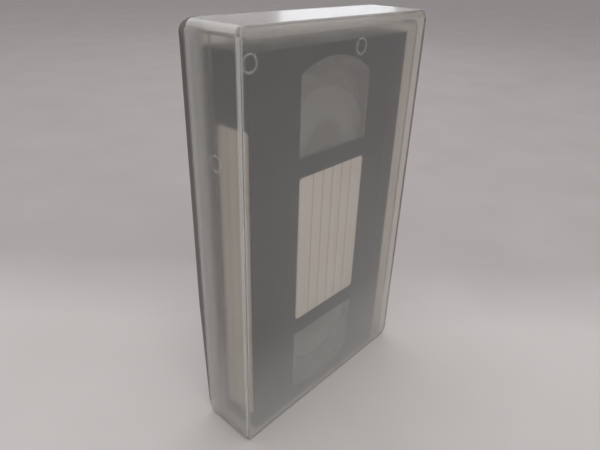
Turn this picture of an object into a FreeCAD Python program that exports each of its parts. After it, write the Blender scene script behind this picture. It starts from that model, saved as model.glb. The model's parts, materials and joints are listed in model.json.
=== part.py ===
import FreeCAD, Part
import math
import os
import types

import Sketcher

# A video cassette lying in a hinged library case that stands on its bottom end.
# Every piece is drawn from the case's front hinge corner: X runs along the front
# cover from the hinge line, Y goes back from the cover's face, Z is up. Each
# piece's Placement then moves the whole object over its own bottom centre.

SIZES = [
    # The library case
    ("case_wall", 1.2, "Wall of cover, spine panel and tray"),
    ("hinge_radius", 0.7, "Bead along each living hinge"),
    ("hinge_gap", 0.1, "Running gap round a hinge bead"),
    ("panel_gap", 0.3, "Gap between edges that part when the case opens"),
    ("cover_corner", 3.7, "Corner radius of the case at the spine"),
    ("opening_corner", 5.75, "Corner radius of the case at the opening side"),
    ("tray_corner", 7.5, "Corner radius of the tray's back at the spine"),
    ("rim_wall", 0.9, "Wall of the tray's inner rim"),
    ("nest_gap", 0.2, "Gap between the tray's rim and the cover's rim below"),
    ("seat_gap", 0.2, "Gap between the cassette and what carries it"),
    ("spine_room", 6.0, "From the spine's face to the cassette"),
    ("door_room", 6.0, "From the cassette's door to the tray's rim"),
    ("top_room", 4.5, "From the cassette's upper end to the tray's rim"),
    ("nest_side", 4.9, "From the tray's rim to the cover's side wall"),
    ("nest_top", 2.9, "From the tray's rim to the cover's top wall"),
    ("face_room", 0.8, "From the cover to the cassette's face"),
    ("back_room", 1.8, "From the cassette's underside to the tray's back"),
    ("spine_rib_height", 8.0, "Low tray rib beside the cassette's spine"),
    ("stop_rib", 1.4, "Thickness of the tray's stop ribs and rails"),
    ("stop_rib_height", 15.0, "Height of the stop ribs over the tray's back"),
    ("stop_rib_ends", 30.0, "From the cassette's ends to the outer stop ribs"),
    ("stop_rib_sides", 18.0, "From the cassette's sides to the outer stop ribs"),
    ("rail_sides", 13.0, "From the cassette's sides to the rails under it"),
    ("rail_ends", 6.0, "From the cassette's ends to the ends of the rails"),
    ("lip_height", 3.9, "How far the sprung hinge lip stands out behind"),
    ("lip_width", 9.5, "How far the lip runs from the spine"),
    ("lip_start", 7.0, "Where the lip begins above the bottom"),
    ("lip_full", 69.0, "Where the lip has its full height"),
    ("thumb_width", 26.0, "Thumb notch in the cover's side wall"),
    ("thumb_depth", 6.0, "Depth of the thumb notch"),
    ("ejector_radius", 3.25, "Ejector marks on the case's inner faces"),
    ("ejector_depth", 0.25, "Depth of the ejector marks"),
    ("ejector_left", 5.6, "From the hinge edge to the cover's first mark"),
    ("ejector_middle", 38.7, "From the door to the cover's second mark"),
    ("ejector_right", 13.1, "From the door to the cover's third mark"),
    ("ejector_top", 3.2, "From the cassette's upper end to two of the marks"),
    ("ejector_low", 21.1, "From the cassette's lower end to the third mark"),
    ("spine_mark_low", 45.5, "From the cassette's lower end to a spine mark"),
    ("spine_mark_high", 42.9, "From the cassette's upper end to a spine mark"),
    ("overcut", 1.0, "How far a cut starts outside what it cuts"),
    ("sink", 0.1, "How far an added form runs into its carrier"),
    # The cassette's shells
    ("cassette_width", 103.0, "Cassette, label edge to door"),
    ("cassette_height", 25.0, "Cassette, face to underside"),
    ("shell_wall", 1.8, "Wall of both shells"),
    ("shell_corner", 2.5, "Corner radius at the label edge"),
    ("shell_edge", 0.7, "Rounding round the shells' faces"),
    ("upper_height", 12.0, "Height of the upper shell"),
    ("mouth_depth", 9.1, "From the shells' front wall to the door's face"),
    ("nose_length", 17.6, "Length of the nose that carries a guide at each end"),
    ("nose_setback", 2.2, "From the door's face to the nose"),
    ("roof_wall", 1.6, "Roof of the nose under the door"),
    ("window_start", 47.5, "From the cassette's middle to a window"),
    ("window_low", 20.8, "From the reel centres to the windows' label side"),
    ("window_width", 46.5, "Window across the cassette"),
    ("window_rim", 1.0, "From the flange's rim to a window's outer end"),
    ("window_fit", 0.15, "Gap round a window pane"),
    ("window_inset", 0.3, "A pane lies this far under the face"),
    ("label_length", 77.0, "Face label along the cassette"),
    ("label_width", 46.0, "Face label across the cassette"),
    ("label_low", 20.3, "From the reel centres to the face label's low side"),
    ("label_corner", 2.0, "Corner radius of both labels"),
    ("label_recess", 0.3, "Recess of both labels"),
    ("label_sheet", 0.22, "Thickness of both labels"),
    ("label_fit", 0.3, "Gap between a label and its recess"),
    ("spine_label_start", 10.5, "Spine label, from the cassette's lower end"),
    ("spine_label_end", 28.5, "Spine label, from the cassette's upper end"),
    ("spine_label_low", 0.8, "Spine label, from the cassette's face"),
    ("spine_label_width", 17.2, "Spine label across the cassette's edge"),
    ("tab_length", 10.0, "Record tab recess along the cassette"),
    ("tab_width", 5.0, "Record tab recess across the edge"),
    ("tab_end", 2.5, "From the cassette's upper end to the tab"),
    ("tab_back", 1.5, "From the cassette's underside to the tab"),
    ("tab_depth", 1.1, "Depth of the tab recess"),
    # Reels and tape
    ("flange_back_room", 4.0, "From the lower flanges to the label side's wall"),
    ("flange_front_gap", 0.3, "From the lower flanges to the front wall"),
    ("flange_end_room", 2.45, "From the lower flanges to the end walls"),
    ("flange_gap", 6.5, "Between the two lower flanges"),
    ("top_flange_inset", 0.5, "Clear upper flange inside the lower one's rim"),
    ("flange_wall", 1.2, "Lower flange thickness"),
    ("top_flange_wall", 0.8, "Upper flange thickness"),
    ("hub_radius", 13.0, "Reel hub under the tape"),
    ("pip_radius", 5.0, "Pip that the pressure spring bears on"),
    ("drive_boss_radius", 13.5, "Hub foot in the lower shell's hole"),
    ("drive_bore_radius", 10.5, "Drive bore"),
    ("drive_foot", 0.8, "Hub foot inside the underside"),
    ("hub_roof", 2.8, "Wall over the drive bore"),
    ("spline_width", 1.6, "Drive spline width"),
    ("spline_height", 1.9, "Drive spline height"),
    ("spline_start", 4.0, "From the bore's end to the splines"),
    ("spline_end", 1.0, "From the hub's foot to the splines"),
    ("tooth_depth", 1.3, "Brake tooth depth"),
    ("tooth_gap", 2.8, "Width of the gap between two brake teeth"),
    ("spring_room", 2.6, "Room for the pressure spring over the reels"),
    ("tape_width", 12.65, "Width of the tape"),
    ("pack_gap", 0.2, "Gap between a tape pack and each flange"),
    ("hub_fit", 0.05, "Gap between a pack or clip and its hub"),
    ("supply_pack", 33.0, "Radius of the tape on the supply reel"),
    ("take_up_pack", 27.0, "Radius of the tape on the take-up reel"),
    ("clip_width", 8.0, "Leader clip width"),
    ("clip_depth", 1.6, "Leader clip depth"),
    ("tape_sheet", 0.2, "Thickness of the tape between the reels"),
    ("tape_gap", 0.3, "Gap between running tape and what turns beside it"),
    ("reel_hole_radius", 14.5, "Reel holes in the lower shell"),
    ("rest_ring_radius", 16.4, "Ring under each reel, outside"),
    ("rest_ring_wall", 1.4, "Ring under each reel, wall"),
    ("rest_gap", 0.3, "Gap between a reel and its ring"),
    # Guides, door and brake
    ("guide_setback", 7.5, "From the door's face to the guides"),
    ("guide_end", 9.5, "From the cassette's ends to the guides"),
    ("roller_radius", 3.0, "Guide roller"),
    ("roller_pin_radius", 1.2, "Pin of the guide roller"),
    ("pin_fit", 0.1, "Running gap round a pin"),
    ("post_radius", 2.0, "Fixed guide post"),
    ("seat_boss_radius", 2.7, "Boss under the roller and the post"),
    ("seat_boss_gap", 0.3, "Gap between the roller and its boss"),
    ("door_depth", 12.0, "Door's top, from its face back"),
    ("door_height", 22.4, "Door's face"),
    ("door_wall", 1.6, "Door wall"),
    ("door_edge", 1.6, "Rounding along the door's outer edge"),
    ("door_gap", 0.3, "Gap between the door and the shells"),
    ("pivot_setback", 8.5, "From the door's face to its pivot"),
    ("pivot_drop", 6.5, "From the cassette's face to the door's pivot"),
    ("pivot_radius", 1.2, "Door pivot pin"),
    ("pivot_length", 1.6, "Door pivot pin length"),
    ("latch_length", 11.4, "Door latch"),
    ("latch_width", 5.4, "Door latch"),
    ("screw_radius", 1.2, "Screw shank"),
    ("screw_head_radius", 2.5, "Screw head"),
    ("screw_head", 1.4, "Screw head thickness"),
    ("screw_length", 16.0, "Screw shank length"),
    ("screw_hole_gap", 0.2, "Gap round a screw"),
    ("screw_edge", 6.0, "From the label edge to the rear screws"),
    ("screw_end", 7.0, "From the cassette's ends to the rear screws"),
    ("screw_front", 17.9, "From the shells' front wall to the front screws"),
    ("screw_middle", 19.2, "From the reel centres to the middle screw"),
    ("boss_radius", 3.1, "Screw boss"),
    ("boss_sink", 0.4, "How far a front boss runs into the end wall"),
    ("brake_angle", 49.8, "Brake tip, degrees round the reel"),
    ("brake_gap", 0.35, "Released brake tip to the teeth"),
    ("brake_wall", 2.6, "Brake pawl thickness"),
    ("brake_proud", 0.6, "How far a pawl stands over the flange"),
    ("brake_room", 2.4, "Brake pawl's tail to the wall at the label edge"),
    ("brake_drop", 6.1, "From a pawl's tip to its pivot, along"),
    ("brake_arm", 6.0, "Brake pawl at its widest"),
    ("brake_post_radius", 1.4, "Brake pivot post"),
    ("release_radius", 2.8, "Brake release hole"),
    ("release_low", 13.8, "From the reel centres to the release hole"),
    ("lever_width", 5.0, "Brake release lever"),
    ("lever_shaft_radius", 1.0, "Shaft of the release lever"),
    ("lever_setback", 8.0, "From the release hole to the lever's shaft"),
    ("lever_height", 1.6, "Height of the lever's shaft over the floor"),
    ("lever_tail", 5.0, "From the lever's shaft to its tail"),
    ("cradle_wall", 3.0, "Each side of the lever's cradle"),
    ("lamp_radius", 4.0, "Lamp hole"),
    ("lamp_setback", 19.0, "From the door's face to the lamp hole"),
    ("lamp_tube_wall", 1.2, "Lamp tube wall"),
    ("leaf_width", 7.0, "Reel pressure spring"),
    ("leaf_wall", 0.4, "Reel pressure spring thickness"),
    ("leaf_foot", 8.0, "Flat middle of the pressure spring, each way"),
    ("leaf_end", 2.0, "Pressure spring past the reel centres"),
    ("leaf_lift", 0.3, "Rise of the pressure spring's ends"),
    ("slack_sheet", 0.24, "Slack leaf thickness"),
    ("slack_foot", 15.0, "From the roller to the slack leaf's foot"),
    ("slack_bend", 7.0, "From the roller to the slack leaf's bend"),
    ("slack_tip", 1.0, "Slack leaf and felt past the roller's middle"),
    ("slack_room", 1.5, "From the roller to the slack leaf's tip"),
    ("slack_edge", 2.0, "From the tape's edges to the slack leaf"),
    ("roller_rim", 0.3, "Rim and end rounding of the guide roller"),
    ("coil_wire", 0.5, "Wire of the coiled springs"),
]
TOOTH_COUNT = 60
SPLINE_COUNT = 6
FRONT, PLAN, SIDE = "XZ_Plane", "XY_Plane", "YZ_Plane"

doc = FreeCAD.newDocument("CassetteInCase")
sheet = doc.addObject("Spreadsheet::Sheet", "Sizes")
for row, (alias, number, note) in enumerate(SIZES, start=1):
    sheet.set(f"A{row}", note)
    sheet.set(f"B{row}", str(number))
    sheet.setAlias(f"B{row}", alias)
doc.recompute()


class Size:
    """A length with its value now and the sheet expression that drives it."""

    def __init__(self, value, text):
        self.value = value
        self.text = text

    def __add__(self, other):
        other = sized(other)
        return Size(self.value + other.value, f"({self.text} + {other.text})")

    def __sub__(self, other):
        other = sized(other)
        return Size(self.value - other.value, f"({self.text} - {other.text})")

    def __mul__(self, other):
        other = sized(other)
        return Size(self.value * other.value, f"({self.text} * {other.text})")

    def __truediv__(self, other):
        other = sized(other)
        return Size(self.value / other.value, f"({self.text} / {other.text})")

    def __neg__(self):
        return Size(-self.value, f"(-1 * {self.text})")


def sized(value):
    return value if isinstance(value, Size) else Size(float(value), repr(float(value)))


def cosine(angle):
    return Size(math.cos(math.radians(angle.value)), f"cos({angle.text} * 1 deg)")


def sine(angle):
    return Size(math.sin(math.radians(angle.value)), f"sin({angle.text} * 1 deg)")


d = types.SimpleNamespace(
    **{alias: Size(float(number), f"Sizes.{alias}") for alias, number, note in SIZES}
)
ZERO = sized(0)

# Sizes and places that several pieces share
flange_radius = (d.cassette_width - d.mouth_depth - d.shell_wall * 2
                 - d.flange_back_room - d.flange_front_gap) / 2
reel_spacing = flange_radius * 2 + d.flange_gap
cassette_length = (reel_spacing + flange_radius * 2
                   + (d.flange_end_room + d.shell_wall) * 2)
x_label_edge = d.spine_room
x_door_face = x_label_edge + d.cassette_width
x_front_wall = x_door_face - d.mouth_depth
x_nose = x_door_face - d.nose_setback
x_step = x_door_face - d.door_depth - d.door_gap
y_face = d.case_wall + d.face_room
y_parting = y_face + d.upper_height
y_under = y_face + d.cassette_height
y_back_inside = y_under + d.back_room
y_back = y_back_inside + d.case_wall
z_low = d.case_wall + d.nest_gap + d.rim_wall + d.seat_gap
z_high = z_low + cassette_length
z_middle = z_low + cassette_length / 2
x_rim = x_door_face + d.door_room
z_rim = z_high + d.top_room
case_width = x_rim + d.rim_wall + d.nest_side + d.case_wall
case_height = z_rim + d.rim_wall + d.nest_top + d.case_wall
y_roof_inside = y_face + d.shell_wall
y_floor_inside = y_under - d.shell_wall
x_reel = x_label_edge + d.shell_wall + d.flange_back_room + flange_radius
z_supply = z_middle + reel_spacing / 2
z_take_up = z_middle - reel_spacing / 2
y_reel_top = y_roof_inside + d.spring_room
y_pack = y_reel_top + d.top_flange_wall + d.pack_gap
y_flange = y_pack + d.tape_width + d.pack_gap
y_flange_under = y_flange + d.flange_wall
x_guide = x_door_face - d.guide_setback
z_roller = z_high - d.guide_end
z_post = z_low + d.guide_end
y_nose_roof = y_face + d.door_wall + d.door_gap
y_nose_inside = y_nose_roof + d.roof_wall
nose_end = d.door_wall + d.door_gap
x_hinge_edge = d.hinge_radius * 2 + d.hinge_gap
y_tip_lip = y_back + d.hinge_gap + d.lip_height
x_brake_tip = x_reel - cosine(d.brake_angle) * (flange_radius + d.brake_gap)
brake_rise = sine(d.brake_angle) * (flange_radius + d.brake_gap)
y_seat_boss = y_pack + d.tape_width + d.seat_boss_gap
y_screw_head = y_under - d.screw_head * 1.5
x_latch = x_step - d.latch_length - d.shell_wall
y_latch = y_parting + d.shell_wall
x_release = x_reel - d.release_low
x_lever_shaft = x_release - d.lever_setback
y_lever_shaft = y_floor_inside - d.lever_height
boss_inset = d.shell_wall + d.boss_radius - d.boss_sink
SCREW_PLACES = [
    (x_label_edge + d.screw_edge, z_low + d.screw_end),
    (x_label_edge + d.screw_edge, z_high - d.screw_end),
    (x_front_wall - d.screw_front, z_low + boss_inset),
    (x_front_wall - d.screw_front, z_high - boss_inset),
    (x_reel + d.screw_middle, z_middle),
]
REELS = [("supply", z_supply, d.supply_pack), ("take_up", z_take_up, d.take_up_pack)]


def point(across, up):
    return FreeCAD.Vector(sized(across).value, sized(up).value, 0)


def place(piece, x=ZERO, y=ZERO, z=ZERO, rotation=None):
    """Puts a piece drawn at its own origin into the object's frame."""
    if rotation is not None:
        piece.Placement = FreeCAD.Placement(FreeCAD.Vector(), rotation)
    piece.setExpression("Placement.Base.x", (sized(x) - case_width / 2).text)
    piece.setExpression("Placement.Base.y", (sized(y) - y_tip_lip / 2).text)
    piece.setExpression("Placement.Base.z", sized(z).text)
    return piece


def new_body(label):
    body = doc.addObject("PartDesign::Body", label)
    body.Label = label
    return place(body)


def new_sketch(body, plane, at):
    """A sketch on one of the body's own planes, moved to the place given along its axis."""
    sketch = body.newObject("Sketcher::SketchObject", f"{body.Label}_sketch")
    origin_plane = next(f for f in body.Origin.OriginFeatures if f.Role == plane)
    sketch.AttachmentSupport = [(origin_plane, "")]
    sketch.MapMode = "FlatFace"
    offset = -sized(at) if plane == FRONT else sized(at)
    sketch.setExpression("AttachmentOffset.Base.z", offset.text)
    return sketch


def bind(sketch, *constraint):
    """Adds a constraint whose last item is a Size, and ties it to the sheet."""
    *head, length = constraint
    index = sketch.addConstraint(Sketcher.Constraint(*head, length.value))
    sketch.setExpression(f"Constraints[{index}]", length.text)


def pin_point(sketch, shape, end, across, up):
    bind(sketch, "DistanceX", -1, 1, shape, end, sized(across))
    bind(sketch, "DistanceY", -1, 1, shape, end, sized(up))


def draw_circle(sketch, across, up, radius):
    circle = Part.Circle(point(across, up), FreeCAD.Vector(0, 0, 1), radius.value)
    shape = sketch.addGeometry(circle)
    pin_point(sketch, shape, 3, across, up)
    bind(sketch, "Radius", shape, radius)


def draw_polygon(sketch, corners):
    sides = []
    for start, end in zip(corners, corners[1:] + corners[:1]):
        sides.append(sketch.addGeometry(Part.LineSegment(point(*start), point(*end))))
    for side, following, corner in zip(sides, sides[1:] + sides[:1], corners):
        sketch.addConstraint(Sketcher.Constraint("Coincident", side, 2, following, 1))
        pin_point(sketch, side, 1, *corner)


def draw_box(sketch, left, bottom, right, top, corners=(None, None, None, None)):
    """A rectangle with corner radii from bottom left, anticlockwise, or None for sharp."""
    left, bottom, right, top = (sized(edge) for edge in (left, bottom, right, top))
    low_left, low_right, high_right, high_left = corners
    trim = [radius if radius else ZERO for radius in corners]
    ends = [
        (left + trim[0], bottom, right - trim[1], bottom),
        (right, bottom + trim[1], right, top - trim[2]),
        (right - trim[2], top, left + trim[3], top),
        (left, top - trim[3], left, bottom + trim[0]),
    ]
    sides = [
        sketch.addGeometry(Part.LineSegment(point(x1, y1), point(x2, y2)))
        for x1, y1, x2, y2 in ends
    ]
    turns = [
        (low_right, right, bottom, -1, 1, -90),
        (high_right, right, top, -1, -1, 0),
        (high_left, left, top, 1, -1, 90),
        (low_left, left, bottom, 1, 1, 180),
    ]
    for index, (radius, across, up, inward_x, inward_y, angle) in enumerate(turns):
        side, following = sides[index], sides[(index + 1) % 4]
        if radius is None:
            sketch.addConstraint(Sketcher.Constraint("Coincident", side, 2, following, 1))
            continue
        centre = point(across + radius * inward_x, up + radius * inward_y)
        circle = Part.Circle(centre, FreeCAD.Vector(0, 0, 1), radius.value)
        arc = sketch.addGeometry(
            Part.ArcOfCircle(circle, math.radians(angle), math.radians(angle + 90))
        )
        sketch.addConstraint(Sketcher.Constraint("Tangent", side, 2, arc, 1))
        sketch.addConstraint(Sketcher.Constraint("Tangent", arc, 2, following, 1))
        bind(sketch, "Radius", arc, radius)
    for side, direction in zip(sides, ("Horizontal", "Vertical") * 2):
        sketch.addConstraint(Sketcher.Constraint(direction, side))
    bind(sketch, "DistanceY", -1, 1, sides[0], 1, bottom)
    bind(sketch, "DistanceX", -1, 1, sides[1], 1, right)
    bind(sketch, "DistanceY", -1, 1, sides[2], 1, top)
    bind(sketch, "DistanceX", -1, 1, sides[3], 1, left)


def extrude(kind, sketch, length):
    """A pad or a pocket that runs from its sketch along the positive axis."""
    body = sketch.getParentGeoFeatureGroup()
    feature = body.newObject(f"PartDesign::{kind}", f"{body.Label}_{kind.lower()}")
    feature.Profile = sketch
    on_front = sketch.AttachmentSupport[0][0].Role == FRONT
    feature.Reversed = on_front if kind == "Pad" else not on_front
    feature.setExpression("Length", sized(length).text)
    sketch.Visibility = False
    return feature


def slab(kind, body, plane, start, end, *boxes, corners=(None, None, None, None)):
    """Adds or cuts rectangles of one sketch between two places along its axis."""
    sketch = new_sketch(body, plane, start)
    for box in boxes:
        draw_box(sketch, *box, corners=corners)
    return extrude(kind, sketch, sized(end) - sized(start))


def discs(kind, body, plane, start, end, radius, centres, hole=None):
    """Adds or cuts circles, or rings where a hole's radius is given."""
    sketch = new_sketch(body, plane, start)
    for across, up in centres:
        draw_circle(sketch, across, up, radius)
        if hole is not None:
            draw_circle(sketch, across, up, hole)
    return extrude(kind, sketch, sized(end) - sized(start))


def prism(kind, body, plane, start, end, corners):
    sketch = new_sketch(body, plane, start)
    draw_polygon(sketch, corners)
    return extrude(kind, sketch, sized(end) - sized(start))


def round_edges(body, radius, wanted):
    """Fillets the edges of the body's last feature that the test picks."""
    doc.recompute()
    last = body.Tip
    names = [
        f"Edge{number}"
        for number, edge in enumerate(last.Shape.Edges, start=1)
        if wanted(edge.BoundBox)
    ]
    fillet = body.newObject("PartDesign::Fillet", f"{body.Label}_fillet")
    fillet.Base = (last, names)
    fillet.setExpression("Radius", radius.text)
    return fillet


def turned(label, profile, x, z):
    """A turned piece: radius against depth, with its axis along Y."""
    body = new_body(label)
    sketch = new_sketch(body, FRONT, ZERO)
    draw_polygon(sketch, profile)
    revolution = body.newObject("PartDesign::Revolution", f"{label}_revolution")
    revolution.Profile = sketch
    revolution.ReferenceAxis = (sketch, ["V_Axis"])
    revolution.Angle = 360
    sketch.Visibility = False
    place(body, x, ZERO, z, FreeCAD.Rotation(FreeCAD.Vector(1, 0, 0), -90))
    return body


def repeat_round(body, feature, sketch, count):
    pattern = body.newObject("PartDesign::PolarPattern", f"{body.Label}_pattern")
    pattern.Originals = [feature]
    pattern.Axis = (sketch, ["N_Axis"])
    pattern.Angle = 360
    pattern.Occurrences = count
    body.Tip = pattern
    return pattern


# The library case


def front_cover():
    body = new_body("front_cover")
    near, far = d.cover_corner, d.opening_corner
    y_rim_end = y_back_inside - d.panel_gap
    x_walls = d.cover_corner + d.panel_gap
    slab("Pad", body, FRONT, ZERO, y_rim_end, (ZERO, ZERO, case_width, case_height),
         corners=(near, far, far, near))
    inner_corner = d.opening_corner - d.case_wall
    slab("Pocket", body, FRONT, d.case_wall, y_rim_end + d.overcut,
         (ZERO - d.overcut, d.case_wall, case_width - d.case_wall, case_height - d.case_wall),
         corners=(None, inner_corner, inner_corner, None))
    slab("Pocket", body, FRONT, d.case_wall, y_rim_end + d.overcut,
         (ZERO - d.overcut, ZERO - d.overcut, x_walls, case_height + d.overcut))
    slab("Pocket", body, FRONT, ZERO - d.overcut, d.case_wall + d.overcut,
         (ZERO - d.overcut, ZERO - d.overcut, x_hinge_edge, case_height + d.overcut))
    # Thumb notch in the side wall, on the edge that meets the tray
    corner = d.thumb_depth / 2
    middle = case_height / 2
    slab("Pocket", body, SIDE, case_width - d.case_wall - d.overcut, case_width + d.overcut,
         (y_rim_end - d.thumb_depth, middle - d.thumb_width / 2,
          y_rim_end + d.thumb_depth, middle + d.thumb_width / 2),
         corners=(corner, None, None, corner))
    discs("Pocket", body, FRONT, d.case_wall - d.ejector_depth, d.case_wall + d.overcut,
          d.ejector_radius,
          [(d.ejector_left, z_high - d.ejector_top),
           (x_door_face - d.ejector_middle, z_high - d.ejector_top),
           (x_door_face - d.ejector_right, z_low + d.ejector_low)])
    return body


def spine_panel():
    body = new_body("spine_panel")
    bead = d.hinge_radius
    y_edge = d.case_wall + d.hinge_gap * 2
    low, high = d.cover_corner, case_height - d.cover_corner
    slab("Pad", body, FRONT, y_edge, y_back - y_edge,
         (ZERO, ZERO, case_width / 2, case_height), corners=(low, None, None, low))
    inner = d.cover_corner - d.case_wall
    slab("Pocket", body, FRONT, y_edge - d.overcut, y_back,
         (d.case_wall, d.case_wall, case_width, case_height - d.case_wall),
         corners=(inner, None, None, inner))
    slab("Pocket", body, FRONT, y_edge - d.overcut, y_back,
         (low, ZERO - d.overcut, case_width, case_height + d.overcut))
    slab("Pad", body, FRONT, bead, y_back - bead, (ZERO, low, d.case_wall, high))
    discs("Pad", body, PLAN, low, high, bead, [(bead, bead), (bead, y_back - bead)])
    discs("Pocket", body, SIDE, d.case_wall - d.ejector_depth, d.case_wall + d.overcut,
          d.ejector_radius,
          [(y_back / 2, z_low + d.spine_mark_low), (y_back / 2, z_high - d.spine_mark_high)])
    return body


def lip_section(body, height, at):
    """Section of the sprung lip that stands out behind the spine's rear hinge."""
    sketch = new_sketch(body, PLAN, at)
    foot = y_back + d.hinge_gap
    inside = y_back - d.case_wall / 2
    draw_polygon(sketch, [
        (ZERO, foot), (x_hinge_edge, foot), (x_hinge_edge, inside),
        (d.lip_width, inside), (d.lip_width, y_back),
        (d.lip_width / 3, foot + height * 0.84), (d.lip_width / 7, foot + height),
        (d.lip_width / 20, foot + height * 0.93), (ZERO, foot + height * 0.7),
    ])
    return sketch


def lip_hollow(body, height, at):
    """Section of the channel that keeps the lip's wall even, open to the inside."""
    sketch = new_sketch(body, PLAN, at)
    foot = y_back + d.hinge_gap
    inside = y_back_inside - d.overcut
    left = x_hinge_edge + d.case_wall / 2
    draw_polygon(sketch, [
        (left, inside), (d.lip_width - d.case_wall * 2, inside),
        (d.lip_width / 3, foot + height), (left, foot + height),
    ])
    return sketch


def loft(kind, body, sections):
    feature = body.newObject(f"PartDesign::{kind}Loft", f"{body.Label}_loft")
    feature.Profile = sections[0]
    feature.Sections = sections[1:]
    feature.Ruled = True
    for section in sections:
        section.Visibility = False
    return feature


def back_tray():
    body = new_body("back_tray")
    near, far = d.tray_corner, d.opening_corner
    slab("Pad", body, FRONT, y_back_inside, y_back,
         (ZERO, ZERO, case_width, case_height), corners=(near, far, far, near))
    slab("Pocket", body, FRONT, y_back_inside - d.overcut, y_back + d.overcut,
         (ZERO - d.overcut, ZERO - d.overcut, x_hinge_edge, case_height + d.overcut))
    # Inner rim round the cassette, low beside the spine
    rim_front = d.case_wall + d.panel_gap
    x_rib = x_label_edge - d.seat_gap - d.rim_wall
    z_floor = z_low - d.seat_gap
    outer = (x_rib, z_floor - d.rim_wall, x_rim + d.rim_wall, z_rim + d.rim_wall)
    inner = (x_rib + d.rim_wall, z_floor, x_rim, z_rim)
    corner, inner_corner = d.cover_corner, d.cover_corner - d.rim_wall
    y_sunk = y_back_inside + d.sink
    slab("Pad", body, FRONT, rim_front, y_sunk, outer, corners=(None, corner, corner, None))
    slab("Pocket", body, FRONT, rim_front - d.overcut, y_back_inside, inner,
         corners=(None, inner_corner, inner_corner, None))
    slab("Pocket", body, FRONT, rim_front - d.overcut, y_back_inside - d.spine_rib_height,
         (x_rib - d.overcut, z_floor, x_label_edge, z_rim))
    # Stop ribs above the cassette and beside its door, and rails under it
    y_rib = y_back_inside - d.stop_rib_height
    half = d.stop_rib / 2
    side, end = d.stop_rib_sides, d.stop_rib_ends
    slab("Pad", body, FRONT, y_rib, y_sunk,
         *[(x - half, z_high + d.seat_gap, x + half, z_rim + d.sink)
           for x in (x_label_edge + side, x_reel, x_door_face - side)])
    slab("Pad", body, FRONT, y_rib, y_sunk,
         *[(x_door_face + d.seat_gap, z - half, x_rim + d.sink, z + half)
           for z in (z_low + end, z_middle, z_high - end)])
    slab("Pad", body, FRONT, y_under + d.seat_gap, y_sunk,
         *[(x - half, z_low + d.rail_ends, x + half, z_high - d.rail_ends)
           for x in (x_label_edge + d.rail_sides, x_door_face - d.rail_sides)])
    # The lip stands proud behind the rear hinge and fades towards the bottom
    sections = [lip_section(body, d.lip_height * 0.04, d.lip_start),
                lip_section(body, d.lip_height, d.lip_full),
                lip_section(body, d.lip_height, case_height)]
    loft("Additive", body, sections)
    hollow_start = d.lip_start + (d.lip_full - d.lip_start) * 0.4
    hollow = d.lip_height - d.case_wall
    sections = [lip_hollow(body, hollow * 0.1, hollow_start),
                lip_hollow(body, hollow, d.lip_full),
                lip_hollow(body, hollow, case_height - d.tray_corner)]
    loft("Subtractive", body, sections)
    # The tray's outline also rounds the lip's upper end
    corner_cut = new_sketch(body, FRONT, y_back_inside - d.overcut)
    draw_corner_waste(corner_cut, d.tray_corner, case_height)
    extrude("Pocket", corner_cut, d.lip_height + d.case_wall + d.overcut * 3)
    return body


def draw_corner_waste(sketch, radius, top):
    """What lies outside a rounded upper left corner."""
    arc_centre = point(radius, top - radius)
    circle = Part.Circle(arc_centre, FreeCAD.Vector(0, 0, 1), radius.value)
    arc = sketch.addGeometry(Part.ArcOfCircle(circle, math.pi / 2, math.pi))
    left, above = ZERO - d.overcut, top + d.overcut
    corners = [(ZERO, top - radius), (left, top - radius), (left, above), (radius, above),
               (radius, top)]
    sides = [
        sketch.addGeometry(Part.LineSegment(point(*start), point(*end)))
        for start, end in zip(corners, corners[1:])
    ]
    chain = [(arc, 2)] + [(side, 2) for side in sides]
    starts = [(side, 1) for side in sides] + [(arc, 1)]
    for (shape, end), (following, start) in zip(chain, starts):
        sketch.addConstraint(Sketcher.Constraint("Coincident", shape, end, following, start))
    for side, corner in zip(sides[1:], corners[1:]):
        pin_point(sketch, side, 1, *corner)
    pin_point(sketch, arc, 3, radius, top - radius)
    bind(sketch, "Radius", arc, radius)
    bind(sketch, "DistanceX", -1, 1, arc, 1, radius)
    bind(sketch, "DistanceY", -1, 1, arc, 2, top - radius)


# The cassette's shells


def draw_window(sketch, side, gap):
    """Three straight sides and an outer end that is round about its reel."""
    left = x_reel - d.window_low + gap
    right = x_reel - d.window_low + d.window_width - gap
    inner = z_middle + (d.window_start + gap) * side
    z_centre = z_middle + reel_spacing / 2 * side
    radius = flange_radius - d.window_rim - gap
    rise = [
        z_centre.value + side * math.sqrt(radius.value ** 2 - (x.value - x_reel.value) ** 2)
        for x in (left, right)
    ]
    corners = [point(left, rise[0]), point(left, inner), point(right, inner),
               point(right, rise[1])]
    sides = [sketch.addGeometry(Part.LineSegment(a, b)) for a, b in zip(corners, corners[1:])]
    angles = [
        math.atan2(corner.y - z_centre.value, corner.x - x_reel.value)
        for corner in (corners[3], corners[0])
    ]
    if side < 0:
        angles.reverse()
    circle = Part.Circle(point(x_reel, z_centre), FreeCAD.Vector(0, 0, 1), radius.value)
    arc = sketch.addGeometry(Part.ArcOfCircle(circle, *angles))
    first, last = (1, 2) if side > 0 else (2, 1)
    for a, end, b, start in ((sides[0], 2, sides[1], 1), (sides[1], 2, sides[2], 1),
                             (sides[2], 2, arc, first), (arc, last, sides[0], 1)):
        sketch.addConstraint(Sketcher.Constraint("Coincident", a, end, b, start))
    pin_point(sketch, arc, 3, x_reel, z_centre)
    bind(sketch, "Radius", arc, radius)
    pin_point(sketch, sides[1], 1, left, inner)
    pin_point(sketch, sides[1], 2, right, inner)
    sketch.addConstraint(Sketcher.Constraint("Vertical", sides[0]))
    sketch.addConstraint(Sketcher.Constraint("Vertical", sides[2]))


def label_box(gap):
    low, half = x_reel - d.label_low, d.label_length / 2
    return (low + gap, z_middle - half + gap, low + d.label_width - gap,
            z_middle + half - gap)


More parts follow.
